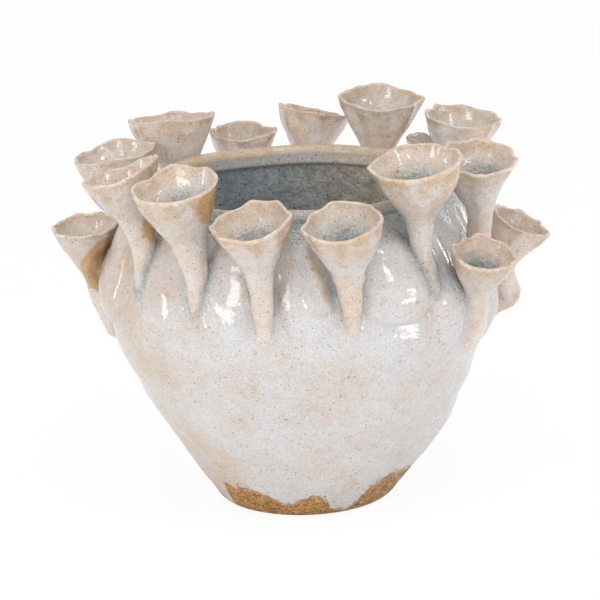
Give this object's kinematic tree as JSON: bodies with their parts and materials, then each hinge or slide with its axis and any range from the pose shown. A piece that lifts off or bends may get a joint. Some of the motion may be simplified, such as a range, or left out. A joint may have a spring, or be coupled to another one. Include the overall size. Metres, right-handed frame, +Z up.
{
  "type": "ceramic flower pot",
  "caption": "Hand-built glazed stoneware planter with a wide rolled mouth, a tapering round body and small wavy trumpet bud holders round its shoulder.",
  "frame": {"origin": "centre of the foot's flat ring, in the plane it stands on", "axes": "+Z up out of the mouth, -Y the front with trumpet_01 and trumpet_16 either side of it, +X to the right seen from the front"},
  "size_m": [0.3803, 0.3736, 0.2945],
  "materials": {
    "body_glaze": "gloss",
    "trumpet_glaze": "gloss"
  },
  "bodies": {
    "root": {"pot_body": "body_glaze", "trumpet_01": "trumpet_glaze", "trumpet_02": "trumpet_glaze", "trumpet_03": "trumpet_glaze", "trumpet_04": "trumpet_glaze", "trumpet_05": "trumpet_glaze", "trumpet_06": "trumpet_glaze", "trumpet_07": "trumpet_glaze", "trumpet_08": "trumpet_glaze", "trumpet_09": "trumpet_glaze", "trumpet_10": "trumpet_glaze", "trumpet_11": "trumpet_glaze", "trumpet_12": "trumpet_glaze", "trumpet_13": "trumpet_glaze", "trumpet_14": "trumpet_glaze", "trumpet_15": "trumpet_glaze", "trumpet_16": "trumpet_glaze"}
  },
  "joints": []
}
